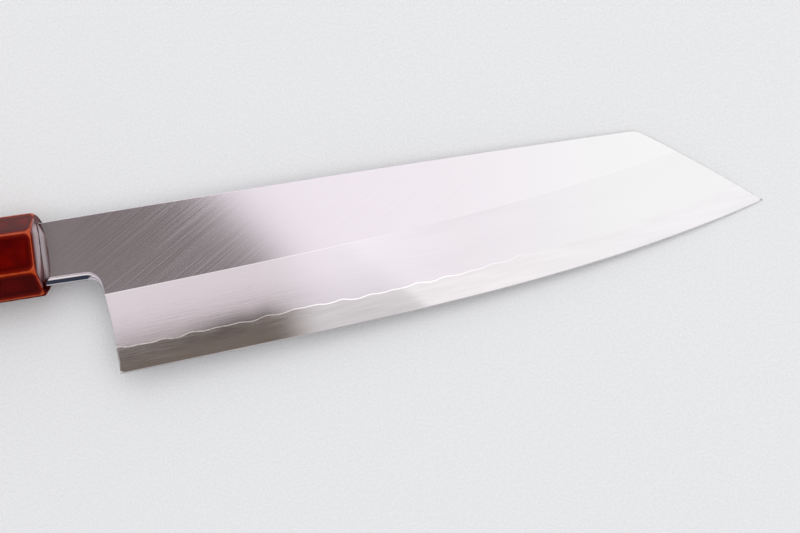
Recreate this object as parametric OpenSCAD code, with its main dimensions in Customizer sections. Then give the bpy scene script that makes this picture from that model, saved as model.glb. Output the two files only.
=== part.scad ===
// Kitchen knife with a clipped point, a blade laminated from three steel layers, and an
// octagonal lacquered handle. It lies on its left side, as on a table.
//
// The knife's own axes, before it is laid down: X runs along the handle from its front face (0)
// to the point, Y runs from the cutting edge up to the spine with 0 on the handle's axis, and Z
// runs across the blade with 0 in the middle of the core steel. The right side faces +Z.

/* [Blade outline] */
// Length of the blade, from the handle's front face to the point
blade_len = 210; // [185:1:260]
// Distance from the handle's front face to the heel
heel_x = 17.7; // [15:0.1:26]
// Depth of the heel below the handle's axis
heel_drop = 38.05; // [32:0.05:44]
// How far the heel's rear edge leans forward on its way down
heel_lean = 1.5; // [0.3:0.1:3]
// Radius of the choil, the inner corner between neck and heel
choil_r = 4.5; // [2:0.1:7]
// Height of the neck, the bare steel in front of the handle
neck_h = 18.4; // [15:0.1:20]
// Height of the spine above the handle's axis, at the handle
spine_rise = 8.85; // [7:0.05:10]
// How much higher the spine stands at its crown than at the handle
spine_crown = 1.4; // [0:0.1:4]
// Distance from the handle's front face to the spine's crown
crown_x = 130; // [90:1:160]
// Depth of the point below the handle's axis
tip_drop = 15.65; // [8:0.05:22]
// Part of the edge's rise towards the point that comes with its curve
belly_rise = 11.7; // [4:0.1:14]
// How late the edge's curve sets in: higher keeps the edge straight for longer
belly_power = 3.6; // [2:0.1:6]
// Length of the clipped back of the point, measured along the blade
clip_run = 33.5; // [20:0.5:50]
// How far the clipped back bulges over a straight line
clip_bulge = 0.45; // [0:0.05:1.5]
// Length that the soft corner between spine and clip takes up on each side
clip_corner = 2; // [0.5:0.1:4]

/* [Blade section] */
// Thickness of the blade just in front of the handle
spine_t = 3; // [2.4:0.05:3.6]
// Thickness of the spine where the clip begins
clip_t = 1.4; // [1:0.05:2.2]
// Thickness left at the cutting edge
edge_t = 0.16; // [0.1:0.01:0.3]
// Height of the wide bevel, from the edge to the ridge line
bevel_w = 23.6; // [18:0.1:26]
// Height of the weld line above the edge, where the cladding stops
weld_h = 7.6; // [5:0.1:11]
// How far below the weld line the core's flat layer would reach the surface
weld_cover = 1; // [0.8:0.1:2]
// Height of the long waves of the weld line
wave_long = 0.26; // [0:0.01:0.3]
// Height of the short waves of the weld line
wave_short = 0.17; // [0:0.01:0.2]

/* [Tang] */
// Depth of the blade's shoulders behind the handle's front face
shoulder_in = 2.5; // [1:0.1:4.5]
// Length of the tang behind the handle's front face
tang_len = 100; // [85:1:115]
// Height of the tang at the shoulders
tang_h = 11.5; // [9:0.1:12]
// Height of the tang at its rear end
tang_end_h = 6.5; // [4:0.1:8]
// Thickness of the tang at its rear end
tang_end_t = 2.1; // [1.6:0.05:2.4]

/* [Handle] */
// Length of the handle
handle_len = 137; // [125:1:150]
// Length of the ferrule, the front piece of the handle
ferrule_len = 26; // [18:0.5:34]
// Height of the handle at its front
front_h = 24.2; // [22.5:0.1:26]
// Thickness of the handle at its front
front_t = 19.5; // [18.5:0.1:22]
// Height of the flat on each side of the handle, at its front
side_flat = 11.5; // [9:0.1:13]
// Width of the narrow facets on the handle's back and belly, at its front
back_flat = 4.3; // [3:0.1:7]
// Size of the handle's rear end compared with its front
rear_scale = 1.09; // [1:0.01:1.15]
// Bevel round the handle's front end
front_bevel = 1; // [0.4:0.1:1.6]
// Bevel round the handle's rear end
rear_bevel = 1.6; // [0.6:0.1:3]

/* [Fit of the blade in the handle] */
// Depth of the open mortise in the ferrule's front wall
mortise_depth = 6; // [5:0.1:9]
// Gap between the neck and the mortise on each side
mortise_side = 0.35; // [0.2:0.05:0.6]
// Gap between the spine and the top of the mortise
mortise_top = 0.2; // [0.1:0.05:0.5]
// Gap between the neck's underside and the bottom of the mortise
mortise_low = 0.8; // [0.2:0.05:1]
// Diameter of the slotted dowel
dowel_d = 15; // [14.2:0.1:15.5]
// Length of the slotted dowel
dowel_len = 60; // [45:1:75]
// Glue gap all round the dowel
dowel_glue = 0.05; // [0.02:0.01:0.1]
// Thickness of the resin between the tang and its slot
resin_gap = 0.35; // [0.2:0.05:0.5]
// Resin behind the end of the tang
resin_end = 1.5; // [1:0.5:4]

/* [Hidden] */

// More than any part of the knife reaches to one side
reach = 400;
// Hair's breadth that a cutter stands out of the face that it opens
over = 0.5;
// Distance in front of the handle where the blade's taper begins
taper_x = 1;
// Points along each stretch of the outline
spine_steps = 20;
edge_steps = 36;
clip_steps = 10;
heel_steps = 8;
choil_steps = 12;
corner_steps = 6;
// Distance between two points of the wavy weld line
wave_step = 1.5;

clip_x = blade_len - clip_run;
edge_run = blade_len - heel_x;
edge_rise = heel_drop - tip_drop - belly_rise;

// Cutting edge, below the handle's axis
function edge_share(x) = max(0, (x - heel_x) / edge_run);
function edge_y(x) =
    -heel_drop + edge_rise * (x - heel_x) / edge_run + belly_rise * pow(edge_share(x), belly_power);

// Spine, as a flat arch with its crown at crown_x
function spine_y(x) = spine_rise + spine_crown * (1 - pow((max(x, 0) - crown_x) / crown_x, 2));

// Clipped back of the point, from the spine to the point, at a share s of its length
clip_from = [clip_x, spine_y(clip_x)];
clip_to = [blade_len, -tip_drop];
clip_way = clip_to - clip_from;
clip_out = [-clip_way[1], clip_way[0]] / norm(clip_way);
function clip_point(s) = clip_from + s * clip_way + 4 * s * (1 - s) * clip_bulge * clip_out;

// Soft corner between spine and clip, at a share s of its way round
corner_in = [clip_x - clip_corner, spine_y(clip_x - clip_corner)];
corner_share = clip_corner / norm(clip_way);
corner_out = clip_point(corner_share);
function corner_point(s) =
    (1 - s) * (1 - s) * corner_in + 2 * s * (1 - s) * clip_from + s * s * corner_out;

// Rear edge of the heel, and the choil that it runs into
neck_low = spine_rise - neck_h;
choil_y = neck_low - choil_r;
heel_h = choil_y + heel_drop;
function heel_back(y) = heel_x - heel_lean * pow((y + heel_drop) / heel_h, 2);
choil_turn = atan(2 * heel_lean / heel_h);
choil_x = heel_back(choil_y) - choil_r * cos(choil_turn);

// Thickness of the blade and of the tang
function blade_t(x) = spine_t + (clip_t - spine_t) * (x - taper_x) / (clip_x - taper_x);
function tang_t(x) = spine_t + (tang_end_t - spine_t) * (taper_x - x) / (taper_x + tang_len);

// Half thickness that the wide bevel leaves at a height h over the edge, and that of the core
function bevel_z(x, h) = edge_t / 2 + (blade_t(x) - edge_t) / 2 * h / bevel_w;
function core_z(x) = bevel_z(x, weld_h - weld_cover);

// Weld line: two long and two short waves over the edge, each with its length, its height and its
// turn in degrees, which puts the two sides out of step
waves = [
    [70, wave_long, 81], [32, 0.6 * wave_long, -32],
    [10.8, 0.9 * wave_short, 176], [7.5, wave_short, -7]
];
function sum(list) = list * [for (entry = list) 1];
function wave(x, side) = sum([for (w = waves) w[1] * sin(360 * x / w[0] + w[2] * side)]);
function weld_y(x, side) = edge_y(x) + weld_h + wave(x, side);

// Tang, in the middle of the neck's height
tang_y = spine_rise - neck_h / 2;

// Size of the handle at a distance behind its front face, compared with the size there
function handle_scale(behind) = 1 + (rear_scale - 1) * behind / handle_len;

// Direction of the octagon's slanting facets, and their distance from the axis at the front
slant = atan((front_t - back_flat) / (front_h - side_flat));
slant_out = front_h / 2 * sin(slant) + back_flat / 2 * cos(slant);

// Laid down on its left side, the knife stands on the handle's front bevel and on the point,
// because the blade outweighs the handle
front_size = handle_scale(front_bevel);
rear_size = handle_scale(handle_len - rear_bevel);
low_z = front_t / 2 * front_size;
rest_tilt = atan((low_z - edge_t / 2) / (blade_len + front_bevel));
rest_lift = blade_len * sin(rest_tilt) + edge_t / 2 * cos(rest_tilt);
rear_z = front_t / 2 * rear_size - rear_bevel;
row_max_x = blade_len * cos(rest_tilt) + edge_t / 2 * sin(rest_tilt);
row_min_x = -handle_len * cos(rest_tilt) - rear_z * sin(rest_tilt);
row_max_y = front_h / 2 * rear_size;
row_min_y = -heel_drop;

module laid_down() {
    translate([-(row_max_x + row_min_x) / 2, -(row_max_y + row_min_y) / 2, rest_lift])
        rotate([0, rest_tilt, 0])
            children();
}

// Whole outline of the steel seen from the side, with neck and tang
module steel_outline() {
    polygon(concat(
        [[-tang_len, tang_y - tang_end_h / 2]],
        [[-tang_len, tang_y + tang_end_h / 2]],
        [[-shoulder_in, tang_y + tang_h / 2]],
        [[-shoulder_in, spine_y(0)]],
        [for (i = [0 : spine_steps]) let (x = corner_in[0] * i / spine_steps) [x, spine_y(x)]],
        [for (i = [1 : corner_steps]) corner_point(i / corner_steps)],
        [for (i = [1 : clip_steps]) clip_point(corner_share + (1 - corner_share) * i / clip_steps)],
        [for (i = [1 : edge_steps]) let (x = blade_len - edge_run * i / edge_steps) [x, edge_y(x)]],
        [for (i = [1 : heel_steps]) let (y = -heel_drop + heel_h * i / heel_steps) [heel_back(y), y]],
        [for (i = [1 : choil_steps])
            let (a = choil_turn + (90 - choil_turn) * i / choil_steps)
            [choil_x + choil_r * cos(a), choil_y + choil_r * sin(a)]],
        [[-shoulder_in, neck_low]],
        [[-shoulder_in, tang_y - tang_h / 2]]
    ));
}

// Space between the two flat sides, which close in towards the point and towards the tang's end
module between_flats() {
    end_x = blade_len + over;
    rotate([90, 0, 0])
        linear_extrude(2 * reach, center = true)
            polygon([
                [-tang_len - over, tang_t(-tang_len - over) / 2], [taper_x, spine_t / 2],
                [end_x, blade_t(end_x) / 2], [end_x, -blade_t(end_x) / 2],
                [taper_x, -spine_t / 2], [-tang_len - over, -tang_t(-tang_len - over) / 2]
            ]);
}

// Space between the two wide bevels, which meet at the edge: one cross-section per station
module between_bevels() {
    high = heel_drop + spine_rise + spine_crown + over;
    stations = concat(
        [-tang_len - over],
        [for (i = [0 : edge_steps]) heel_x + edge_run * i / edge_steps],
        [blade_len + over]
    );
    last = len(stations) - 1;
    points = [for (x = stations) each [
        [x, edge_y(x), -bevel_z(x, 0)],
        [x, edge_y(x), bevel_z(x, 0)],
        [x, edge_y(x) + high, bevel_z(x, high)],
        [x, edge_y(x) + high, -bevel_z(x, high)]
    ]];
    strips = [for (k = [0 : last - 1], c = [0 : 3])
        let (a = 4 * k + c, b = 4 * k + (c + 1) % 4)
        each [[a, b, b + 4], [a, b + 4, a + 4]]];
    polyhedron(points, concat([[3, 2, 1, 0]], strips, [[for (c = [0 : 3]) 4 * last + c]]));
}

// The ground blade before it is split into its three layers
module ground_steel() {
    intersection() {
        linear_extrude(2 * spine_t, center = true)
            steel_outline();
        between_flats();
        between_bevels();
    }
}

// Room of the cladding on one side: outside the core's flat layer and above the weld line
module cladding_room(side) {
    first_x = -tang_len - over;
    line_x = heel_x - choil_r;
    last_x = blade_len + over;
    steps = ceil((last_x - line_x) / wave_step);
    intersection() {
        mirror([0, 0, side > 0 ? 0 : 1])
            rotate([90, 0, 0])
                linear_extrude(2 * reach, center = true)
                    polygon([
                        [first_x, core_z(taper_x) * tang_t(first_x) / spine_t],
                        [taper_x, core_z(taper_x)], [last_x, core_z(last_x)],
                        [last_x, 2 * spine_t], [first_x, 2 * spine_t]
                    ]);
        linear_extrude(4 * spine_t, center = true)
            polygon(concat(
                [[last_x, reach], [first_x, reach], [first_x, weld_y(line_x, side)]],
                [for (i = [0 : steps])
                    let (x = line_x + (last_x - line_x) * i / steps)
                    [x, weld_y(x, side)]]
            ));
    }
}

// Eight corners of the handle's cross-section at a distance behind the front face. size compares
// it with the front face, and inset draws every facet in
function octagon(behind, size, inset) =
    let (
        high = size * front_h / 2 - inset,
        wide = size * front_t / 2 - inset,
        out = size * slant_out - inset,
        back = (out - high * sin(slant)) / cos(slant),
        side = (out - wide * cos(slant)) / sin(slant)
    )
    [for (corner = [
        [side, wide], [high, back], [high, -back], [side, -wide],
        [-side, -wide], [-high, -back], [-high, back], [-side, wide]
    ]) [-behind, corner[0], corner[1]]];

// Solid through a row of such cross-sections, from the front to the rear
module octagonal(rings) {
    last = len(rings) - 1;
    sides = [for (k = [0 : last - 1], c = [0 : 7])
        let (a = 8 * k + c, b = 8 * k + (c + 1) % 8)
        [b, a, a + 8, b + 8]];
    front = [for (c = [0 : 7]) c];
    rear = [for (c = [0 : 7]) 8 * last + 7 - c];
    polyhedron([for (ring = rings) each ring], concat([front, rear], sides));
}

// Open mortise in the ferrule's front wall, a little larger than the neck
module mortise() {
    low = neck_low - mortise_low;
    high = spine_rise + mortise_top;
    half = spine_t / 2 + mortise_side;
    translate([-mortise_depth, low, -half])
        cube([mortise_depth + over, high - low, 2 * half]);
}

// Round room of the dowel
module dowel_bore() {
    r = dowel_d / 2 + dowel_glue;
    translate([-mortise_depth - dowel_len, tang_y, 0])
        rotate([0, 90, 0])
            cylinder(h = dowel_len, r = r, $fn = 96);
}

// Slot for the tang: it follows the tang's taper, with room for the resin all round
module tang_slot() {
    back = -tang_len - resin_end;
    front = -mortise_depth;
    slope = (tang_h - tang_end_h) / 2 / (tang_len - shoulder_in);
    half_back = tang_end_h / 2 + resin_gap;
    half_front = half_back + slope * (front - back);
    half_t = tang_t(front) / 2 + resin_gap;
    linear_extrude(2 * half_t, center = true)
        polygon([
            [back, tang_y - half_back], [back, tang_y + half_back],
            [front, tang_y + half_front], [front, tang_y - half_front]
        ]);
}

module core_steel() {
    color("#8d817d")
        laid_down()
            difference() {
                ground_steel();
                cladding_room(1);
                cladding_room(-1);
            }
}

module right_cladding() {
    color("#c9bfc4")
        laid_down()
            intersection() {
                ground_steel();
                cladding_room(1);
            }
}

module left_cladding() {
    color("#c4babf")
        laid_down()
            intersection() {
                ground_steel();
                cladding_room(-1);
            }
}

module ferrule() {
    color("#5c1009")
        laid_down()
            difference() {
                octagonal([
                    octagon(0, front_size, front_bevel),
                    octagon(front_bevel, front_size, 0),
                    octagon(ferrule_len, handle_scale(ferrule_len), 0)
                ]);
                mortise();
                dowel_bore();
            }
}

module handle_body() {
    color("#6a0f05")
        laid_down()
            difference() {
                octagonal([
                    octagon(ferrule_len, handle_scale(ferrule_len), 0),
                    octagon(handle_len - rear_bevel, rear_size, 0),
                    octagon(handle_len, rear_size, rear_bevel)
                ]);
                dowel_bore();
                tang_slot();
            }
}

module tang_dowel() {
    color("#d9b98a")
        laid_down()
            difference() {
                translate([-mortise_depth - dowel_len, tang_y, 0])
                    rotate([0, 90, 0])
                        cylinder(h = dowel_len, d = dowel_d, $fn = 96);
                tang_slot();
            }
}

module tang_resin() {
    color("#e6ddc2")
        laid_down()
            difference() {
                tang_slot();
                ground_steel();
            }
}

core_steel();
right_cladding();
left_cladding();
ferrule();
handle_body();
tang_dowel();
tang_resin();
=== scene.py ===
"""Looks of a kitchen knife: a satin blade forged from three layers, and a lacquered handle.

The knife's own axes are those of its construction: X from the handle's front face to the point,
Y from the cutting edge up to the spine, Z out of the right side, all in millimetres. laid() turns
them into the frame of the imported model, in metres, where the knife lies on its left side.
"""

import math

import bmesh
import bpy
import numpy as np
from mathutils import Matrix, Vector
from mathutils.geometry import delaunay_2d_cdt


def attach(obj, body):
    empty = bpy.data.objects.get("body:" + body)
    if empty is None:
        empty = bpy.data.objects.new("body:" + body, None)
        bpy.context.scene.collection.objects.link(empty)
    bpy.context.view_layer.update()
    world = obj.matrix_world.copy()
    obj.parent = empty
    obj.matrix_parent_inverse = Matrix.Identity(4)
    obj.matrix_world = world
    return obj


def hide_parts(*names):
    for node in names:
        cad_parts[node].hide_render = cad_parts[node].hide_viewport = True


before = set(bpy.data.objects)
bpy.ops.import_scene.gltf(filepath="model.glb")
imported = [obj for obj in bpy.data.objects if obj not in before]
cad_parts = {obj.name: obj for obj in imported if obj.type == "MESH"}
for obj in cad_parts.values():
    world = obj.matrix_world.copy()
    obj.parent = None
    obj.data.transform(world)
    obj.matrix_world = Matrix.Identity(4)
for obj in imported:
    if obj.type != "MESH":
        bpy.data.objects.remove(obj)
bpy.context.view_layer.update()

# Blade outline
BLADE_LEN = 210.0
HEEL_X = 17.7
HEEL_DROP = 38.05
HEEL_LEAN = 1.5
CHOIL_R = 4.5
NECK_H = 18.4
SPINE_RISE = 8.85
SPINE_CROWN = 1.4
CROWN_X = 130.0
TIP_DROP = 15.65
BELLY_RISE = 11.7
BELLY_POWER = 3.6
CLIP_RUN = 33.5
CLIP_BULGE = 0.45
CLIP_CORNER = 2.0

# Blade section
SPINE_T = 3.0
CLIP_T = 1.4
EDGE_T = 0.16
TAPER_X = 1.0
BEVEL_W = 23.6
WELD_H = 7.6
WELD_COVER = 1.0
WAVE_LONG = 0.26
WAVE_SHORT = 0.17
EDGE_BEVEL = 0.35

# Tang
SHOULDER_IN = 2.5
TANG_LEN = 100.0
TANG_H = 11.5
TANG_END_H = 6.5
TANG_END_T = 2.1

# Roundings of the blade's outline: their reach inwards, and the most of it that a thin rim allows
SPINE_EASE = 0.12
HEEL_EASE = 0.45
NECK_EASE = 2.2
HEEL_FADE = 4.0
EASE_PER_HALF = 1.5

# Net of the blade's faces: steps along the outline and the weld line, and a grid between them
LINE_STEP = 1.5
WELD_STEP = 0.4
GRID_X = 2.4
GRID_Y = 2.2
GRID_CLEAR = 0.9

# Rings of that net along the rounded rims: turns of the rounding in degrees, and one past its end
RING_TURNS = (15, 32, 50, 70, 90)
RING_PAST = 0.15
RING_OVER_EDGE = 0.5
LEAST_EASE = 0.02

# Cladding: how near counts as on a line, where its inner face starts over the weld line, its least
# thickness, and the height over the weld line given to neck and tang, where there is none
ON_LINE = 1e-3
INNER_FROM = 0.02
THIN = 5e-3
FAR_OVER = 50.0

# Handle
HANDLE_LEN = 137.0
FERRULE_LEN = 26.0
FRONT_H = 24.2
FRONT_T = 19.5
SIDE_FLAT = 11.5
BACK_FLAT = 4.3
REAR_SCALE = 1.09
FRONT_BEVEL = 1.0
REAR_BEVEL = 1.6
MORTISE_DEPTH = 6.0
MORTISE_SIDE = 0.35
MORTISE_TOP = 0.2
MORTISE_LOW = 0.8
DOWEL_D = 15.0
DOWEL_LEN = 60.0
DOWEL_GLUE = 0.05
RESIN_GAP = 0.35
RESIN_END = 1.5

# Roundings of the handle; its half size between height and thickness sets how far ends draw in
CORNER_R = 0.9
WORN_CORNER_R = 2.0
WORN_REACH = 4.5
WORN_BACK = 0.2
FRONT_ROUND = 0.6
REAR_ROUND = 2.2
JOINT_ROUND = 0.08
MEAN_HALF = 11.0

# Grinding marks: how they are turned over the blade, in degrees
SCRATCH_TURN = 31
DEEP_SCRATCH_TURN = 32.5
HAZE_TURN = 3
LINE_TURN = 4

# The bright weld line's colour, the same on both steels
WELD_COLOUR = (0.98, 0.94, 0.96, 1)

# Worked out from the sizes above
CLIP_X = BLADE_LEN - CLIP_RUN
EDGE_RUN = BLADE_LEN - HEEL_X
EDGE_RISE = HEEL_DROP - TIP_DROP - BELLY_RISE
NECK_LOW = SPINE_RISE - NECK_H
CHOIL_Y = NECK_LOW - CHOIL_R
HEEL_H = CHOIL_Y + HEEL_DROP
TANG_Y = SPINE_RISE - NECK_H / 2
EDGE_FROM = HEEL_X - 3
SLANT = math.atan2(FRONT_T - BACK_FLAT, FRONT_H - SIDE_FLAT)
SLANT_OUT = FRONT_H / 2 * math.sin(SLANT) + BACK_FLAT / 2 * math.cos(SLANT)


def handle_scale(behind):
    """Size of the handle at a distance behind its front face, compared with the size there."""
    return 1 + (REAR_SCALE - 1) * behind / HANDLE_LEN


# How the knife lies: on the handle's front bevel and on the point
FRONT_SIZE = handle_scale(FRONT_BEVEL)
REAR_SIZE = handle_scale(HANDLE_LEN - REAR_BEVEL)
REST_TILT = math.atan((FRONT_T / 2 * FRONT_SIZE - EDGE_T / 2) / (BLADE_LEN + FRONT_BEVEL))
REAR_Z = FRONT_T / 2 * REAR_SIZE - REAR_BEVEL
ROW_MAX_X = BLADE_LEN * math.cos(REST_TILT) + EDGE_T / 2 * math.sin(REST_TILT)
ROW_MIN_X = -HANDLE_LEN * math.cos(REST_TILT) - REAR_Z * math.sin(REST_TILT)
REST_MOVE = np.array([
    -(ROW_MAX_X + ROW_MIN_X) / 2,
    -(FRONT_H / 2 * REAR_SIZE - HEEL_DROP) / 2,
    BLADE_LEN * math.sin(REST_TILT) + EDGE_T / 2 * math.cos(REST_TILT),
])


def turned(p):
    """Directions in the knife's axes, turned into the row frame."""
    p = np.asarray(p, float)
    c, s = math.cos(REST_TILT), math.sin(REST_TILT)
    return np.stack([p[..., 0] * c + p[..., 2] * s, p[..., 1], p[..., 2] * c - p[..., 0] * s], -1)


def laid(p):
    """Points in the knife's axes, in millimetres, put into the row frame in metres."""
    return (turned(p) + REST_MOVE) / 1000


def lifted_back(p):
    """The other way round: row frame in metres to the knife's axes in millimetres."""
    p = np.asarray(p, float) * 1000 - REST_MOVE
    c, s = math.cos(REST_TILT), math.sin(REST_TILT)
    return np.stack([p[..., 0] * c - p[..., 2] * s, p[..., 1], p[..., 0] * s + p[..., 2] * c], -1)


# Camera


def camera():
    """The photograph's viewpoint, worked out from the knife's outline."""
    spot = [100.8, -45.1, 365.8]
    roll, tilt, yaw = math.radians(8.531), math.radians(4.055), math.radians(-0.36)
    picture_w, focal_px = 800, 1261
    up0 = np.array([math.sin(roll), math.cos(roll), 0])
    right0 = np.array([math.cos(roll), -math.sin(roll), 0])
    out0 = np.array([0, 0, 1.0])
    ahead0 = math.sin(tilt) * up0 - math.cos(tilt) * out0
    up = math.cos(tilt) * up0 + math.sin(tilt) * out0
    right = math.cos(yaw) * right0 - math.sin(yaw) * ahead0
    ahead = math.cos(yaw) * ahead0 + math.sin(yaw) * right0
    turn = Matrix(np.stack([turned(right), turned(up), turned(-ahead)], 1).tolist()).to_4x4()
    lens = bpy.data.cameras.new("photo_view")
    lens.sensor_width = 36
    lens.lens = lens.sensor_width * focal_px / picture_w
    lens.clip_start = 0.01
    eye = bpy.data.objects.new("photo_view", lens)
    eye.matrix_world = Matrix.Translation(Vector(laid(spot))) @ turn
    bpy.context.scene.collection.objects.link(eye)
    bpy.context.scene.camera = eye


# Node writing


class Link:
    """A socket in a node tree, so that sums on its values read as Python."""

    def __init__(self, graph, socket):
        self.graph = graph
        self.socket = socket

    def maths(self, operation, *others):
        numbers = dict(enumerate((self,) + others))
        return self.graph.node("ShaderNodeMath", {"operation": operation}, numbers)

    def __add__(self, other):
        return self.maths("ADD", other)

    def __mul__(self, other):
        return self.maths("MULTIPLY", other)

    def __sub__(self, other):
        return self.maths("SUBTRACT", other)

    def __truediv__(self, other):
        return self.maths("DIVIDE", other)

    def __rsub__(self, other):
        return self.maths("MULTIPLY_ADD", -1.0, other)

    __radd__ = __add__
    __rmul__ = __mul__

    def least(self, other):
        return self.maths("MINIMUM", other)

    def most(self, other):
        return self.maths("MAXIMUM", other)

    def size(self):
        return self.maths("ABSOLUTE")

    def root(self):
        return self.maths("SQRT")

    def rise(self, low, high):
        """0 before low, 1 past high, soft in between; it falls if low is the larger."""
        return self.graph.node("ShaderNodeMapRange", {"interpolation_type": "SMOOTHSTEP"}, {
            "Value": self, "From Min": low, "From Max": high})

    def parts(self):
        """The three numbers of a vector."""
        first = self.graph.node("ShaderNodeSeparateXYZ", {}, {0: self})
        return [Link(self.graph, out) for out in first.socket.node.outputs]


class Graph:
    """A node tree. node() adds a node: its type, its settings, its sockets' values or links."""

    def __init__(self, tree):
        self.tree = tree

    def node(self, kind, settings=None, inputs=None, out=0):
        made = self.tree.nodes.new(kind)
        for key, value in (settings or {}).items():
            setattr(made, key, value)
        for key, value in (inputs or {}).items():
            if isinstance(value, Link):
                self.tree.links.new(value.socket, made.inputs[key])
            else:
                made.inputs[key].default_value = value
        return Link(self, made.outputs[out] if made.outputs else None)

    def vector(self, x, y, z):
        return self.node("ShaderNodeCombineXYZ", {}, {0: x, 1: y, 2: z})

    def mix(self, share, first, second):
        """Two colours; a share of 0 gives the first, 1 the second."""
        colours = {0: share, 6: first, 7: second}
        return self.node("ShaderNodeMix", {"data_type": "RGBA"}, colours, out=2)


class Finish(Graph):
    """A material's nodes."""

    def __init__(self, name):
        self.material = bpy.data.materials.new(name)
        self.material.use_nodes = True
        self.material.node_tree.nodes.clear()
        super().__init__(self.material.node_tree)

    def attribute(self, name):
        return self.node("ShaderNodeAttribute", {"attribute_name": name}, out="Vector")

    def own_place(self):
        return self.node("ShaderNodeTexCoord", out="Object")

    def noise(self, vector, scale=1.0, detail=3.0, rough=0.6):
        return self.node("ShaderNodeTexNoise", {}, {
            "Vector": vector, "Scale": scale, "Detail": detail, "Roughness": rough})

    def bump(self, height, distance):
        return self.node("ShaderNodeBump", {}, {"Height": height, "Distance": distance})

    def surface(self, **inputs):
        named = {key.replace("_", " "): value for key, value in inputs.items()}
        shader = self.node("ShaderNodeBsdfPrincipled", {}, named)
        self.node("ShaderNodeOutputMaterial", {}, {"Surface": shader})
        return self.material


def screen(r, g, b):
    """A linear colour from a screen's 0 to 255 values."""
    def linear(v):
        v /= 255
        return v / 12.92 if v <= 0.04045 else ((v + 0.055) / 1.055) ** 2.4
    return (linear(r), linear(g), linear(b), 1.0)


# Light


def softbox():
    """One large soft light, high over the point and the spine, that faces down."""
    radiance, width, length = 0.42, 5.6, 8.0
    spot, turn = [1939, 2096, 2800], 41.1
    light = bpy.data.lights.new("softbox", "AREA")
    light.shape = "RECTANGLE"
    light.size, light.size_y = width, length
    light.energy = radiance * math.pi * width * length
    lamp = bpy.data.objects.new("softbox", light)
    lamp.location = Vector(laid(spot))
    lamp.rotation_euler.z = math.radians(turn)
    lamp.visible_camera = False
    bpy.context.scene.collection.objects.link(lamp)


def room():
    """A pale room on the point's side; a dim one on the handle's, with a light gap and a window.

    Directions are told by how far they lean from straight over the blade, along it and across it.
    The steel mirrors this room, so its borders are those of the light and dark zones on the blade.
    """
    over_gap, under_gap = (0.325, 0.292, 0.283, 1), (0.265, 0.226, 0.192, 1)
    handle_end, behind_handle = (0.06, 0.055, 0.055, 1), (1.0, 1.0, 1.0, 1)
    gap_light, window = (1.15, 1.1, 1.1, 1), (1.2, 1.17, 1.15, 1)
    under_neck, over_spine = (0.05, 0.062, 0.09, 1), (1.1, 1.1, 1.1, 1)
    pale_wall, lit_strip, wall_foot = (1.1, 1.1, 1.1, 1), (1.4, 1.4, 1.4, 1), (0.4, 0.4, 0.42, 1)
    low_wall, horizon = (0.2, 0.2, 0.215, 1), (0.85, 0.86, 0.88, 1)

    world = bpy.data.worlds.new("room")
    world.use_nodes = True
    world.node_tree.nodes.clear()
    g = Graph(world.node_tree)
    x, y, z = g.node("ShaderNodeTexCoord").parts()
    c, s = math.cos(REST_TILT), math.sin(REST_TILT)
    up = (x * s + z * c).most(0.05)
    along, across = (x * c - z * s) / up, y / up

    # The dim side: a slanting gap of light, with a darker wall under it
    gap_low = across - along.most(-0.25) * 0.25 + 0.0165
    dim = g.mix(gap_low.rise(0.01, -0.01), over_gap, under_gap)
    dim = g.mix(along.rise(-0.27, -0.3), dim, handle_end)
    light = g.mix(gap_low.rise(-0.003, 0.003) * across.rise(0.06, 0.0), dim, gap_light)

    # Further out on the edge's side a window, with the dark line under the neck; the rest is light
    light = g.mix(across.rise(-0.13, -0.18), light, window)
    below = across.rise(-0.4, -0.5) * (along.size() + across * 0.35).rise(0.55, 0.3)
    light = g.mix(below, light, under_neck)
    light = g.mix(across.rise(0.3, 0.6), light, over_spine)
    from_behind = along.rise(-0.42, -0.55) * (along - across).rise(-0.1, -0.4)
    light = g.mix(from_behind, light, behind_handle)

    # The pale side, with a brighter strip near its slanting border
    strip = along + across * 0.8
    near_border = strip.rise(-0.1, -0.05) * strip.rise(0.01, -0.02) * across.rise(-0.045, -0.01)
    wall = g.mix(near_border, pale_wall, lit_strip)
    wall = g.mix(across.rise(-0.5, -0.9), wall, wall_foot)
    pale = (along + (across - 0.09).most(0.0) * 0.8).rise(-0.094, -0.054)
    light = g.mix(pale, light, wall)

    # Little light from low down, so that shadows on the floor stay narrow, but a light horizon
    lean = (along * along + across * across).root()
    low_down = lean.rise(0.9, 1.5) * (1 - below)
    light = g.mix(low_down * 0.75, light, low_wall)
    light = g.mix(low_down * lean.rise(1.6, 3.2), light, horizon)

    back = g.node("ShaderNodeBackground", {}, {"Color": light})
    g.node("ShaderNodeOutputWorld", {}, {"Surface": back})
    bpy.context.scene.world = world


# Finishes


def strokes(f, x, y, degrees, length, width):
    """Noise drawn out into strokes that lie at an angle over the blade, about 0 in the middle."""
    c, s = math.cos(math.radians(degrees)), math.sin(math.radians(degrees))
    spread = f.vector((x * c + y * s) / length, (y * c - x * s) / width, 0.0)
    return f.noise(spread, 1.0, 2.0) - 0.5


def weld_share(f, x, over_weld):
    """The bright weld line, 1 in its middle, which fades out towards the point."""
    jag = (f.noise(f.vector(x * 0.55, 0.0, 0.0), 1.0, 2.0) - 0.5) * 0.35
    return (over_weld + jag).size().rise(0.2, 0.12) * x.rise(150, 70)


def steel_start(name):
    """A steel's nodes: lengthwise place, height, and heights over the edge and the weld line."""
    f = Finish(name)
    x, y, _ = f.attribute("place").parts()
    over_edge, over_weld, _ = f.attribute("bands").parts()
    return f, x, y, over_edge, over_weld


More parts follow.
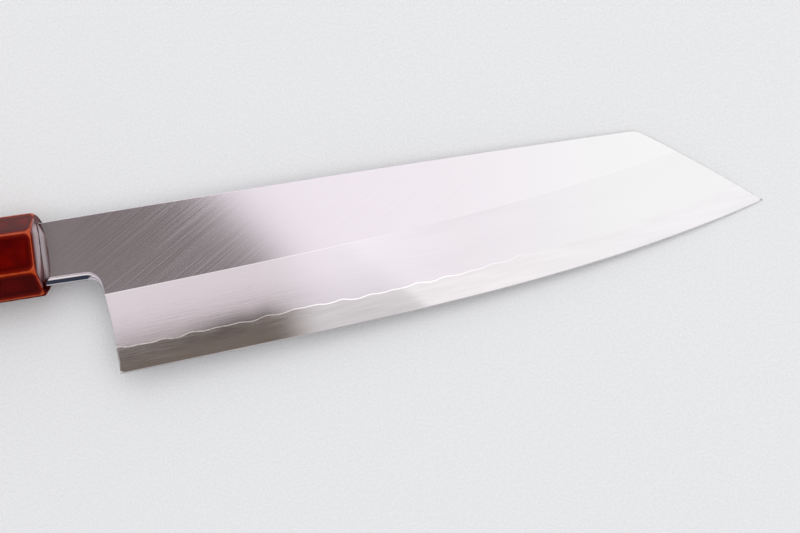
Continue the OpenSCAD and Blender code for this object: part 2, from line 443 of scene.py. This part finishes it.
def cladding_finish():
    """Soft steel: slanting scratches on the flats, a fine lengthwise haze on the bevels."""
    f, x, y, over_edge, over_weld = steel_start("satin_cladding")
    bevel = over_edge.rise(BEVEL_W + 0.06, BEVEL_W - 0.06)
    flat = 1 - bevel

    # Long strokes that show in patches, and fade in the light towards the point
    patches = (strokes(f, x, y, SCRATCH_TURN, 10, 0.7) + 0.5).rise(0.2, 0.55)
    fine = strokes(f, x, y, SCRATCH_TURN, 60, 0.17) * patches
    patches = (strokes(f, x, y, DEEP_SCRATCH_TURN, 15, 1.4) + 0.5).rise(0.4, 0.6)
    few = strokes(f, x, y, DEEP_SCRATCH_TURN, 110, 0.26) * patches
    scratches = (fine * 1.25 + few * 0.25) * (1 - x.rise(36, 75) * 0.85)
    haze = strokes(f, x, y, HAZE_TURN, 20, 0.3) * 0.4 + strokes(f, x, y, LINE_TURN, 30, 6) * 0.4

    # Rosy near the handle and white towards the point. The flats are also painted lighter near the
    # handle, a painted reflection.
    scratches_and_sheen = scratches + x.rise(17, 3) * 0.2
    hazy = haze * 0.3 + 0.18 - x.rise(60, 130) * 0.26
    tone = (scratches_and_sheen * flat + hazy * bevel + 0.5).rise(0.1, 0.9)
    rosy = f.mix(tone, (0.48, 0.44, 0.475, 1), (0.67, 0.625, 0.665, 1))
    white = f.mix(tone, (0.55, 0.55, 0.55, 1), (0.66, 0.66, 0.66, 1))
    steel = f.mix(x.rise(90, 190), rosy, white)

    # A painted highlight runs along the ridge, and a painted dark reflection lies in a patch over
    # the weld line
    ridge = (over_edge - (BEVEL_W - 0.1)).size().rise(0.25, 0.08) * x.rise(110, 60) * bevel
    steel = f.mix(ridge * 0.6, steel, (0.76, 0.74, 0.76, 1))
    # Painted dark reflection: the bevel darkened in a patch just over the weld line, towards the
    # handle
    painted_dark_patch = over_weld.rise(4.8, -0.5) * x.rise(32, 54) * x.rise(71, 60) * bevel * 0.66
    steel = f.mix(painted_dark_patch, steel, (0.1, 0.1, 0.1, 1))
    return f.surface(
        Base_Color=f.mix(weld_share(f, x, over_weld), steel, WELD_COLOUR), Metallic=1.0,
        Roughness=(scratches * 0.1 + 0.105) * flat + (haze * 0.05 + 0.09) * bevel,
        Normal=f.bump(scratches * flat + haze * bevel, 6e-6))


def core_finish():
    """Hard steel under the weld line: finer lengthwise lines, near a mirror."""
    f, x, y, over_edge, over_weld = steel_start("core_steel")
    lines = strokes(f, x, y, LINE_TURN, 14, 0.2) * (1 - x.rise(60, 130) * 0.7)
    tone = (lines * 0.6 + strokes(f, x, y, LINE_TURN, 20, 3) * 0.4 + 0.5).rise(0.1, 0.9)
    rosy = f.mix(tone, (0.47, 0.44, 0.45, 1), (0.65, 0.62, 0.63, 1))
    white = f.mix(tone, (0.53, 0.52, 0.53, 1), (0.64, 0.63, 0.64, 1))
    steel = f.mix(x.rise(90, 190), rosy, white)
    # Painted dark reflection: the core darker higher up towards the weld line, near the handle
    shaded = over_edge.rise(2.2, 6.5) * x.rise(68, 50) * 0.5
    steel = f.mix(shaded, steel, (0.2, 0.18, 0.18, 1))
    return f.surface(
        Base_Color=f.mix(weld_share(f, x, over_weld), steel, WELD_COLOUR), Metallic=1.0,
        Roughness=lines * 0.03 + over_edge.rise(0.45, 0.3) * 0.4 + 0.045,
        Normal=f.bump(lines, 2e-6))


def lacquer_finish():
    """Translucent dark red lacquer over orange: thin, and so orange, along every corner."""
    reach, face_in = 2.0, 0.25
    f = Finish("rubbed_lacquer")
    place = f.attribute("place")
    x, y, z = place.parts()
    grown = 1 - x * ((REAR_SCALE - 1) / HANDLE_LEN)
    wide, high = z.size() / grown, y.size() / grown
    slanting = SLANT_OUT - high * math.sin(SLANT) - wide * math.cos(SLANT)

    # Distances to the three nearest of the handle's faces; where two are near, a corner is
    nearest = FRONT_T / 2 - wide
    second = nearest.most(FRONT_H / 2 - high)
    nearest = nearest.least(FRONT_H / 2 - high)
    third = second.most(slanting)
    second = second.least(nearest.most(slanting))
    nearest = nearest.least(slanting)
    for face in ((x + face_in).size(), x + HANDLE_LEN):
        third = third.least(second.most(face))
        second = second.least(nearest.most(face))
        nearest = nearest.least(face)
    left, ahead = (reach - second).most(0.0), (reach - third).most(0.0)
    wander = f.noise(place, 0.35) - 0.5
    inside = reach - (left * left + ahead * ahead).root() + wander * 0.3
    cloud = f.noise(place, 0.11, 2.0, 0.5).rise(0.3, 0.75)
    deep = f.mix(cloud * inside.rise(0.8, 3.0), screen(74, 4, 3), screen(128, 9, 1))
    # Painted shade: the lacquer darker on the edge's side of the handle
    deep = f.mix(y.rise(-5, -8) * 0.4, deep, screen(50, 5, 5))
    warm = f.mix(inside.rise(1.3, 0.5), deep, screen(104, 16, 7))
    corner = inside.rise(0.44, 0.1) * x.rise(-0.15, -0.4)
    front = x.rise(-0.5, -0.2) * wide.rise(9.2, 5.0)
    return f.surface(
        Base_Color=f.mix(corner, warm, screen(182, 68, 26)), Roughness=0.4, Specular_IOR_Level=0.0,
        Coat_Weight=y.rise(4, 8) * 0.32 + corner * 0.1 + front + 0.03, Coat_IOR=2.0,
        Coat_Roughness=0.06, Normal=f.bump(wander, 3e-5))


def bare_wood_finish():
    """Pale wood with grain along the dowel."""
    f = Finish("bare_wood")
    x, y, z = f.own_place().parts()
    grain = f.noise(f.vector(x * 12, y * 160, z * 160), 1.0, 4.0)
    colour = f.mix(grain.rise(0.3, 0.7), screen(176, 138, 92), screen(224, 192, 146))
    return f.surface(Base_Color=colour, Roughness=0.6, Normal=f.bump(grain, 1e-4))


def resin_finish():
    """Set resin, cloudy and pale."""
    f = Finish("set_resin")
    cloud = f.noise(f.own_place(), 60.0, 2.0, 0.5)
    colour = f.mix(cloud.rise(0.3, 0.7), screen(214, 202, 168), screen(236, 228, 204))
    return f.surface(Base_Color=colour, Roughness=cloud * 0.1 + 0.25)


def floor_finish():
    """Pale board with a fine speckle."""
    f = Finish("pale_floor")
    speckle = f.noise(f.own_place(), 1500.0, 2.0, 0.7)
    colour = f.mix(speckle.rise(0.25, 0.75), (0.84, 0.845, 0.856, 1), (0.92, 0.924, 0.933, 1))
    return f.surface(Base_Color=colour, Roughness=0.75)


# Meshes


def closed_mesh(name, points, faces, bands=None, crease=None):
    """An object from points in the knife's axes, merged, with its faces turned outwards.

    The points' own places are kept with the mesh for the finishes.
    """
    mesh = bpy.data.meshes.new(name)
    mesh.from_pydata([tuple(p) for p in laid(points)], [], faces)
    keep_vectors(mesh, "place", points)
    if bands is not None:
        keep_vectors(mesh, "bands", bands)
    work = bmesh.new()
    work.from_mesh(mesh)
    bmesh.ops.remove_doubles(work, verts=work.verts, dist=2e-7)
    bmesh.ops.dissolve_degenerate(work, edges=work.edges, dist=1e-8)
    bmesh.ops.recalc_face_normals(work, faces=work.faces)
    work.to_mesh(mesh)
    work.free()
    piece = bpy.data.objects.new(name, mesh)
    bpy.context.scene.collection.objects.link(piece)
    shade(mesh, crease)
    return piece


def keep_vectors(mesh, name, values):
    """Stores three numbers with every point of a mesh."""
    if name in mesh.attributes:
        mesh.attributes.remove(mesh.attributes[name])
    layer = mesh.attributes.new(name, "FLOAT_VECTOR", "POINT")
    layer.data.foreach_set("vector", np.asarray(values, np.float32).ravel())


def shade(mesh, crease=None, angle=24):
    """Smooth faces with sharp edges where they turn by more than an angle or lie on a crease."""
    work = bmesh.new()
    work.from_mesh(mesh)
    for face in work.faces:
        face.smooth = True
    place = work.verts.layers.float_vector["place"]
    for edge in work.edges:
        on_crease = crease and all(crease(v[place]) for v in edge.verts)
        edge.smooth = edge.calc_face_angle(math.pi) < math.radians(angle) and not on_crease
    work.to_mesh(mesh)
    work.free()


# Blade: its lines and thicknesses at a distance X in front of the handle


def edge_y(x):
    share = np.maximum(0, (x - HEEL_X) / EDGE_RUN)
    return -HEEL_DROP + EDGE_RISE * (x - HEEL_X) / EDGE_RUN + BELLY_RISE * share ** BELLY_POWER


def spine_y(x):
    return SPINE_RISE + SPINE_CROWN * (1 - ((np.maximum(x, 0) - CROWN_X) / CROWN_X) ** 2)


def heel_back(y):
    return HEEL_X - HEEL_LEAN * ((y + HEEL_DROP) / HEEL_H) ** 2


def blade_t(x):
    return SPINE_T + (CLIP_T - SPINE_T) * (x - TAPER_X) / (CLIP_X - TAPER_X)


def tang_t(x):
    return SPINE_T + (TANG_END_T - SPINE_T) * (TAPER_X - x) / (TAPER_X + TANG_LEN)


def half_t(x):
    """Half thickness between the two flats."""
    return np.where(x > TAPER_X, blade_t(x), tang_t(x)) / 2


def bevel_z(x, h):
    """Half thickness that the wide bevel leaves at a height over the edge."""
    return EDGE_T / 2 + (blade_t(x) - EDGE_T) / 2 * h / BEVEL_W


def core_z(x):
    """Half thickness of the hard middle layer."""
    level = bevel_z(np.maximum(x, TAPER_X), WELD_H - WELD_COVER)
    return np.where(x > TAPER_X, level, level * tang_t(x) / SPINE_T)


# Waves of the weld line: length, height and turn in degrees
WAVES = ((70, WAVE_LONG, 81), (32, 0.6 * WAVE_LONG, -32),
         (10.8, 0.9 * WAVE_SHORT, 176), (7.5, WAVE_SHORT, -7))


def weld_y(x, side):
    waves = sum(high * np.sin(2 * math.pi * x / run + math.radians(turn) * side)
                for run, high, turn in WAVES)
    return edge_y(x) + WELD_H + waves


def steps(start, end, step):
    """Evenly spaced values from start to just short of end."""
    count = max(1, math.ceil(abs(end - start) / step))
    return np.linspace(start, end, count + 1)[:-1]


def blade_outline():
    """The steel seen from the side: points round it, each with the rounding of its rim there."""
    clip_from = np.array([CLIP_X, float(spine_y(CLIP_X))])
    clip_way = np.array([BLADE_LEN, -TIP_DROP]) - clip_from
    clip_out = np.array([-clip_way[1], clip_way[0]]) / np.hypot(*clip_way)

    def clip_point(s):
        return clip_from + s * clip_way + 4 * s * (1 - s) * CLIP_BULGE * clip_out

    corner_in = np.array([CLIP_X - CLIP_CORNER, float(spine_y(CLIP_X - CLIP_CORNER))])
    corner_share = CLIP_CORNER / np.hypot(*clip_way)
    corner_out = clip_point(corner_share)
    choil_turn = math.atan(2 * HEEL_LEAN / HEEL_H)
    choil_x = heel_back(CHOIL_Y) - CHOIL_R * math.cos(choil_turn)
    line = [
        (-TANG_LEN, TANG_Y - TANG_END_H / 2, 0), (-TANG_LEN, TANG_Y + TANG_END_H / 2, 0),
        (-SHOULDER_IN, TANG_Y + TANG_H / 2, 0), (-SHOULDER_IN, SPINE_RISE, SPINE_EASE),
    ]
    line += [(x, spine_y(x), SPINE_EASE) for x in steps(0, corner_in[0], LINE_STEP)]
    for s in steps(0, 1, 0.125):
        bend = (1 - s) ** 2 * corner_in + 2 * s * (1 - s) * clip_from + s * s * corner_out
        line.append((*bend, SPINE_EASE))
    line += [(*clip_point(s), SPINE_EASE) for s in steps(corner_share, 1, 0.03)]
    line += [(x, edge_y(x), 0) for x in steps(BLADE_LEN, HEEL_X, LINE_STEP)]
    line += [(HEEL_X, -HEEL_DROP, 0)]
    line += [(heel_back(y), y, HEEL_EASE * min(1, (y + HEEL_DROP) / HEEL_FADE))
             for y in steps(-HEEL_DROP, CHOIL_Y, 0.6)[1:]]
    for a in steps(choil_turn, math.pi / 2, 0.08):
        share = (a - choil_turn) / (math.pi / 2 - choil_turn)
        ease = HEEL_EASE + (NECK_EASE - HEEL_EASE) * share * share * (3 - 2 * share)
        line.append((choil_x + CHOIL_R * math.cos(a), CHOIL_Y + CHOIL_R * math.sin(a), ease))
    line += [(x, NECK_LOW, NECK_EASE) for x in steps(choil_x, -SHOULDER_IN, 0.8)]
    line += [(-SHOULDER_IN, NECK_LOW, NECK_EASE), (-SHOULDER_IN, TANG_Y - TANG_H / 2, 0)]
    return np.array(line, float)


def lines_along(side):
    """Heights of the ridge, of the small bevel at the edge and of one side's weld line."""
    return {
        "ridge": lambda x: edge_y(x) + BEVEL_W,
        "small": lambda x: edge_y(x) + EDGE_BEVEL,
        "weld": lambda x: weld_y(x, side),
    }


class Blade:
    """The blade's outline and the height of its skin over the middle plane."""

    def __init__(self):
        line, self.ends = blade_outline(), {}
        full = []
        for here, there in zip(line, np.roll(line, -1, 0)):
            full.append(here)
            met = []
            for side in (1, -1):
                for name, level in lines_along(side).items():
                    if name != "weld" and side < 0:
                        continue
                    share = self.crossing(here, there, level)
                    if share:
                        spot = here + share * (there - here)
                        met.append((share, spot))
                        self.ends.setdefault((name, side), []).append(spot[0])
            full += [spot for share, spot in sorted(met, key=lambda pair: pair[0])]
        self.line = np.array(full)
        self.xy = self.line[:, :2]
        self.way = np.roll(self.xy, -1, 0) - self.xy
        inward = np.stack([self.way[:, 1], -self.way[:, 0]], 1)
        inward /= np.hypot(*self.way.T)[:, None]
        mean = inward + np.roll(inward, 1, 0)
        self.inward = mean / np.hypot(*mean.T)[:, None]
        self.ease = np.minimum(self.line[:, 2], self.half(*self.xy.T) * EASE_PER_HALF)

    @staticmethod
    def crossing(here, there, level):
        """Share of the way between two outline points at which a line along the blade is met."""
        def over(share):
            p = here + share * (there - here)
            return p[1] - level(p[0])
        if min(here[0], there[0]) < TAPER_X or over(0) * over(1) >= 0:
            return None
        low, high = 0.0, 1.0
        for _ in range(50):
            middle = (low + high) / 2
            if over(middle) * over(0) > 0:
                low = middle
            else:
                high = middle
        return low

    @staticmethod
    def half(x, y):
        """Half thickness before the rims are rounded."""
        return np.minimum(half_t(x), bevel_z(x, np.maximum(y - edge_y(x), 0)))

    def to_rim(self, x, y):
        """Distance of points to the rounded rim, and the rounding where it is nearest."""
        best = np.full(len(x), 1e9)
        ease = np.zeros(len(x))
        ends = np.roll(self.ease, -1)
        for p, way, e0, e1 in zip(self.xy, self.way, self.ease, ends):
            if e0 > 0 and e1 > 0:
                t = np.clip(((x - p[0]) * way[0] + (y - p[1]) * way[1]) / (way @ way), 0, 1)
                far = np.hypot(x - p[0] - t * way[0], y - p[1] - t * way[1])
                ease = np.where(far < best, e0 + t * (e1 - e0), ease)
                best = np.minimum(best, far)
        return best, ease

    def skin(self, x, y):
        """Height of the finished surface over the middle plane."""
        h = y - edge_y(x)
        far, ease = self.to_rim(x, y)
        z = self.half(x, y)
        left = np.maximum(ease - far, 0)
        round_off = 1 - np.sqrt(np.maximum(1 - (left / (ease + 1e-9)) ** 2, 0))
        z = z - np.minimum(ease, z) * round_off
        small = bevel_z(x, EDGE_BEVEL) * np.maximum(h, 0) / EDGE_BEVEL
        at_edge = (h < EDGE_BEVEL) & (x > EDGE_FROM)
        return np.maximum(np.where(at_edge, np.minimum(z, small), z), 0)

    def rings(self):
        """Lines that run along the rounded rims, at growing distances from them."""
        core = core_z(self.xy[:, 0])
        half = self.half(*self.xy.T)
        for turn in (*RING_TURNS, "core", "past"):
            row = []
            for k, start in enumerate(self.xy):
                r = self.ease[k]
                if turn == "core":
                    drop = max(min(r, half[k]), 1e-6)
                    level = (core[k] + drop - half[k]) / drop
                    deep = r * (1 - math.cos(math.asin(level))) if 0.05 < level < 0.95 else 0
                elif turn == "past":
                    deep = r + RING_PAST
                else:
                    deep = r * (1 - math.cos(math.radians(turn)))
                p = start + self.inward[k] * deep
                clear = p[1] - float(edge_y(p[0])) > RING_OVER_EDGE or p[0] < EDGE_FROM
                if r > LEAST_EASE and deep > 0 and clear:
                    row.append(p)
                elif row:
                    yield row
                    row = []
            if row:
                yield row

    def net(self, side):
        """One side as flat triangles that follow the ridge, the weld line and the rims."""
        points = [tuple(p) for p in self.xy]
        rim = list(range(len(points)))
        ties = []

        def string(row):
            first = len(points)
            points.extend((float(a), float(b)) for a, b in row)
            ties.extend((k, k + 1) for k in range(first, len(points) - 1))

        for name, level in lines_along(side).items():
            ends = self.ends[name, side if name == "weld" else 1]
            step = WELD_STEP if name == "weld" else LINE_STEP
            xs = np.append(steps(min(ends), max(ends), step), max(ends))
            string(np.stack([xs, level(xs)], 1))
        for row in self.rings():
            string(row)
        taken = np.array(points)
        for x in np.arange(-TANG_LEN + 4, BLADE_LEN, GRID_X):
            for y in np.arange(-HEEL_DROP, SPINE_RISE + SPINE_CROWN, GRID_Y):
                if np.min(np.hypot(taken[:, 0] - x, taken[:, 1] - y)) > GRID_CLEAR:
                    points.append((float(x), float(y)))
        made = delaunay_2d_cdt([Vector(p) for p in points], ties, [rim], 1, 1e-6)
        return np.array([tuple(v) for v in made[0]]), [list(t) for t in made[2]]


def open_edges(faces):
    """Edges that only one face has, in that face's direction."""
    seen = {pair for f in faces for pair in zip(f, f[1:] + f[:1])}
    return [(a, b) for a, b in seen if (b, a) not in seen]


def used_only(points, faces, bands):
    """Points, faces and bands without the points that no face uses."""
    keep = sorted({a for f in faces for a in f})
    new = {a: k for k, a in enumerate(keep)}
    return points[keep], [[new[a] for a in f] for f in faces], bands[keep]


def blade_layers():
    """Core steel and both claddings as closed meshes that meet on shared faces."""
    blade = Blade()
    nets = []
    claddings = []
    for side, name in ((1, "right_cladding_steel"), (-1, "left_cladding_steel")):
        xy, faces = blade.net(side)
        x, y = xy.T
        skin = blade.skin(x, y)
        over_weld = np.where(x > 0, y - weld_y(x, side), FAR_OVER)
        inner = np.where(over_weld > INNER_FROM, np.minimum(core_z(x), skin), skin)
        bands = np.stack([y - edge_y(x), over_weld, np.zeros_like(x)], 1)
        outside = np.column_stack([xy, skin * side])
        inside = np.column_stack([xy, inner * side])
        nets.append((xy, faces, inside, bands))
        clad = [f for f in faces
                if over_weld[f].mean() > ON_LINE and (skin - inner)[f].max() > THIN]
        n = len(xy)
        walls = [[b, a, a + n, b + n] for a, b in open_edges(clad)]
        shell = clad + [[a + n for a in reversed(f)] for f in clad] + walls
        both, both_bands = np.concatenate([outside, inside]), np.concatenate([bands, bands])
        claddings.append(closed_mesh(name, *used_only(both, shell, both_bands), crease=on_ridge))
    return core_layer(*nets), *claddings


def core_layer(right, left):
    """The core steel: a face on each side, bare under the weld lines, joined round the rim."""
    first = len(right[0])
    rim = np.array(sorted({a for pair in open_edges(left[1]) for a in pair}))
    walls = []
    for a, b in open_edges(right[1]):
        across = []
        for k in (a, b):
            away = np.hypot(*(left[0][rim] - right[0][k]).T)
            across.append(int(rim[np.argmin(away)]) + first)
        walls.append([b, a, *across])
    faces = right[1] + [[a + first for a in reversed(f)] for f in left[1]] + walls
    points = np.concatenate([right[2], left[2]])
    return closed_mesh(
        "hard_core_steel", *used_only(points, faces, np.concatenate([right[3], left[3]])),
        crease=on_core_line)


def on_ridge(p):
    """Whether a point lies on the ridge between flat and bevel."""
    return p[0] > TAPER_X and abs(p[1] - edge_y(p[0]) - BEVEL_W) < ON_LINE


def on_core_line(p):
    """Whether a point lies on a weld line or on the small bevel's border."""
    levels = (weld_y(p[0], 1 if p[2] > 0 else -1), edge_y(p[0]) + EDGE_BEVEL)
    return p[0] > TAPER_X and min(abs(p[1] - level) for level in levels) < ON_LINE


# Handle


def octagon_tree():
    """Geometry nodes that sweep a rounded octagon along the handle and round off its ends."""
    tree = bpy.data.node_groups.new("octagonal_handle", "GeometryNodeTree")
    tree.is_modifier = True
    for name in ("Front end", "Rear end", "Height", "Thickness", "Side flat", "Back flat", "Growth",
                 "Corner radius", "Worn corner radius", "Worn reach", "Worn back", "Front round",
                 "Rear round"):
        tree.interface.new_socket(name, in_out="INPUT", socket_type="NodeSocketFloat")
    tree.interface.new_socket("Finish", in_out="INPUT", socket_type="NodeSocketMaterial")
    tree.interface.new_socket("Handle", in_out="OUTPUT", socket_type="NodeSocketGeometry")
    g = Graph(tree)
    given = tree.nodes.new("NodeGroupInput")
    size = {out.name: Link(g, out) for out in given.outputs if out.name}

    def octagon(radius):
        ring = g.node("GeometryNodeCurvePrimitiveCircle", {"mode": "RADIUS"}, {"Resolution": 8})
        ring = g.node("GeometryNodeTransform", {}, {
            "Geometry": ring, "Rotation": (0, 0, math.radians(22.5))})
        u, v, _ = g.node("GeometryNodeInputPosition").parts()
        tall = u.size().maths("GREATER_THAN", v.size())
        y = u.maths("SIGN") * (size["Height"] * tall + size["Side flat"] * (1 - tall)) * 0.5
        z = v.maths("SIGN") * (size["Back flat"] * tall + size["Thickness"] * (1 - tall)) * 0.5
        ring = g.node("GeometryNodeSetPosition", {}, {
            "Geometry": ring, "Position": g.vector(y, z, 0.0)})
        ring = g.node("GeometryNodeFilletCurve", {"mode": "POLY"}, {
            "Curve": ring, "Count": 6, "Radius": radius})
        return g.node("GeometryNodeSubdivideCurve", {}, {"Curve": ring, "Cuts": 2})

    def sweep(radius):
        # Rows of points that lie closer together near both ends, where the rounding is
        rows, bunching = 101, 0.86
        path = g.node("GeometryNodeCurvePrimitiveLine", {"mode": "POINTS"}, {"End": (0, 0, 1)})
        path = g.node("GeometryNodeResampleCurve", {"mode": "COUNT"}, {"Curve": path, "Count": rows})
        share = g.node("GeometryNodeSplineParameter")
        eased = share - (share * (2 * math.pi)).maths("SINE") * (bunching / (2 * math.pi))
        from_front = (size["Rear end"] - size["Front end"]) * eased
        place = g.vector(0.0, 0.0, size["Front end"] + from_front)
        path = g.node("GeometryNodeSetPosition", {}, {"Geometry": path, "Position": place})
        behind = g.node("GeometryNodeInputPosition").parts()[2]
        inset = 0.0
        for end, r in (("Front end", "Front round"), ("Rear end", "Rear round")):
            left = (size[r] - (behind - size[end]).size()).most(0.0)
            inset = size[r] - (size[r] * size[r] - left * left).root() + inset
        width = 1 + size["Growth"] * behind - inset / MEAN_HALF
        return g.node("GeometryNodeCurveToMesh", {}, {
            "Curve": path, "Profile Curve": octagon(radius), "Scale": width, "Fill Caps": True})

    crisp, worn = sweep(size["Corner radius"]), sweep(size["Worn corner radius"])
    position = g.node("GeometryNodeInputPosition")
    softer = g.node("GeometryNodeSampleIndex", {"data_type": "FLOAT_VECTOR", "domain": "POINT"}, {
        "Geometry": worn, "Value": position, "Index": g.node("GeometryNodeInputIndex")})
    u, v, along = position.parts()
    share = (1 - along / size["Worn reach"]).most(0.0)
    share = share * share
    blend = g.node("ShaderNodeMix", {"data_type": "VECTOR"}, {
        0: share, 4: position, 5: softer}, out=1)
    out = ((u * u + v * v).root() - size["Thickness"] * 0.5).most(0.0)
    back = g.vector(0.0, 0.0, out * out * size["Worn back"] * share)
    body = g.node("GeometryNodeSetPosition", {}, {
        "Geometry": crisp, "Position": blend, "Offset": back})
    body = g.node("GeometryNodeRealizeInstances", {}, {"Geometry": body})
    body = g.node("GeometryNodeSetMaterial", {}, {"Geometry": body, "Material": size["Finish"]})
    g.node("NodeGroupOutput", {}, {0: body})
    return tree


def handle_length(tree, name, finish, **sizes):
    """One length of the handle, grown by the tree and turned into a plain mesh."""
    piece = bpy.data.objects.new(name, bpy.data.meshes.new(name))
    bpy.context.scene.collection.objects.link(piece)
    grown = piece.modifiers.new("grown", "NODES")
    grown.node_group = tree
    values = {
        "Height": FRONT_H, "Thickness": FRONT_T, "Side flat": SIDE_FLAT, "Back flat": BACK_FLAT,
        "Growth": (REAR_SCALE - 1) / HANDLE_LEN, "Corner radius": CORNER_R,
        "Worn corner radius": WORN_CORNER_R, "Worn reach": WORN_REACH, "Worn back": WORN_BACK,
        "Finish": finish,
        **{key.replace("_", " "): value for key, value in sizes.items()},
    }
    for socket in tree.interface.items_tree:
        if socket.in_out == "INPUT":
            grown[socket.identifier] = values[socket.name]
    mesh = evaluated(piece)
    piece.modifiers.remove(grown)
    along = np.array([v.co for v in mesh.vertices])
    points = np.stack([-along[:, 2], along[:, 0], along[:, 1]], 1)
    faces = [list(p.vertices) for p in mesh.polygons]
    bpy.data.objects.remove(piece)
    return closed_mesh(name, points, faces)


def evaluated(piece):
    """A plain mesh of a piece with its modifiers carried out."""
    bpy.context.view_layer.update()
    graph = bpy.context.evaluated_depsgraph_get()
    return bpy.data.meshes.new_from_object(piece.evaluated_get(graph))


def cut(piece, *tools):
    """Cuts closed shapes out of a piece and keeps the result as its plain mesh."""
    for tool in tools:
        change = piece.modifiers.new("cut", "BOOLEAN")
        change.operation = "DIFFERENCE"
        change.solver = "EXACT"
        change.object = tool
        mesh = evaluated(piece)
        piece.modifiers.remove(change)
        piece.data = mesh
        bpy.data.objects.remove(tool)
    keep_vectors(piece.data, "place", lifted_back([v.co for v in piece.data.vertices]))
    shade(piece.data)
    even = piece.modifiers.new("even", "WEIGHTED_NORMAL")
    even.keep_sharp = True
    mesh = evaluated(piece)
    piece.modifiers.remove(even)
    piece.data = mesh


def prism(outline, low, high):
    """An outline in X and Y, raised between two heights."""
    n = len(outline)
    points = [(x, y, z) for z in (low, high) for x, y in outline]
    faces = [list(range(n))[::-1], list(range(n, 2 * n))]
    faces += [[k, (k + 1) % n, n + (k + 1) % n, n + k] for k in range(n)]
    return closed_mesh("tool", np.array(points, float), faces)


def dowel_bore():
    """Room for the dowel and its glue: a round bore along X."""
    r, sides = DOWEL_D / 2 + DOWEL_GLUE, 72
    ring = [(TANG_Y + r * math.cos(a), r * math.sin(a))
            for a in np.linspace(0, 2 * math.pi, sides, endpoint=False)]
    points = [(x, y, z) for x in (-MORTISE_DEPTH, -MORTISE_DEPTH - DOWEL_LEN) for y, z in ring]
    faces = [list(range(sides)), list(range(sides, 2 * sides))[::-1]]
    faces += [[k, sides + k, sides + (k + 1) % sides, (k + 1) % sides] for k in range(sides)]
    return closed_mesh("tool", np.array(points), faces)


def mortise():
    """The opening in the front face that the neck enters."""
    low, high = NECK_LOW - MORTISE_LOW, SPINE_RISE + MORTISE_TOP
    half = SPINE_T / 2 + MORTISE_SIDE
    return prism([(-MORTISE_DEPTH, low), (2, low), (2, high), (-MORTISE_DEPTH, high)], -half, half)


def tang_slot():
    """Room for the tang and its resin behind the mortise."""
    back, front = -TANG_LEN - RESIN_END, -MORTISE_DEPTH
    slope = (TANG_H - TANG_END_H) / 2 / (TANG_LEN - SHOULDER_IN)
    half_back = TANG_END_H / 2 + RESIN_GAP
    half_front = half_back + slope * (front - back)
    half = float(tang_t(front)) / 2 + RESIN_GAP
    return prism([(back, TANG_Y - half_back), (front, TANG_Y - half_front),
                  (front, TANG_Y + half_front), (back, TANG_Y + half_back)], -half, half)


def handle_pieces(finish):
    """Ferrule and handle body, hollow where mortise, dowel and tang sit."""
    tree = octagon_tree()
    ferrule = handle_length(
        tree, "lacquered_ferrule", finish, Front_end=0.0, Rear_end=FERRULE_LEN,
        Front_round=FRONT_ROUND, Rear_round=JOINT_ROUND)
    cut(ferrule, mortise(), dowel_bore())
    body = handle_length(
        tree, "lacquered_handle", finish, Front_end=FERRULE_LEN, Rear_end=HANDLE_LEN,
        Front_round=JOINT_ROUND, Rear_round=REAR_ROUND, Worn_corner_radius=CORNER_R)
    cut(body, dowel_bore(), tang_slot())
    return ferrule, body


# The knife put together


def give(piece, material):
    piece.data.materials.clear()
    piece.data.materials.append(material)


def stand_for(piece, node, material):
    give(piece, material)
    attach(piece, "root")
    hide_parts(node)


def floor():
    """A wide pale board under the knife."""
    mesh = bpy.data.meshes.new("floor")
    far = 6.0
    corners = [(-far, -far, 0), (far, -far, 0), (far, far, 0), (-far, far, 0)]
    mesh.from_pydata(corners, [], [(0, 1, 2, 3)])
    mesh.materials.append(floor_finish())
    board = bpy.data.objects.new("floor", mesh)
    bpy.context.scene.collection.objects.link(board)


bpy.context.scene.view_settings.view_transform = "Standard"
camera()
softbox()
room()
floor()

lacquer = lacquer_finish()
cladding = cladding_finish()
core, right, left = blade_layers()
ferrule, body = handle_pieces(lacquer)
stand_for(core, "core_steel", core_finish())
stand_for(right, "right_cladding", cladding)
stand_for(left, "left_cladding", cladding)
stand_for(ferrule, "ferrule", lacquer)
stand_for(body, "handle_body", lacquer)
give(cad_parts["tang_dowel"], bare_wood_finish())
give(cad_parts["tang_resin"], resin_finish())
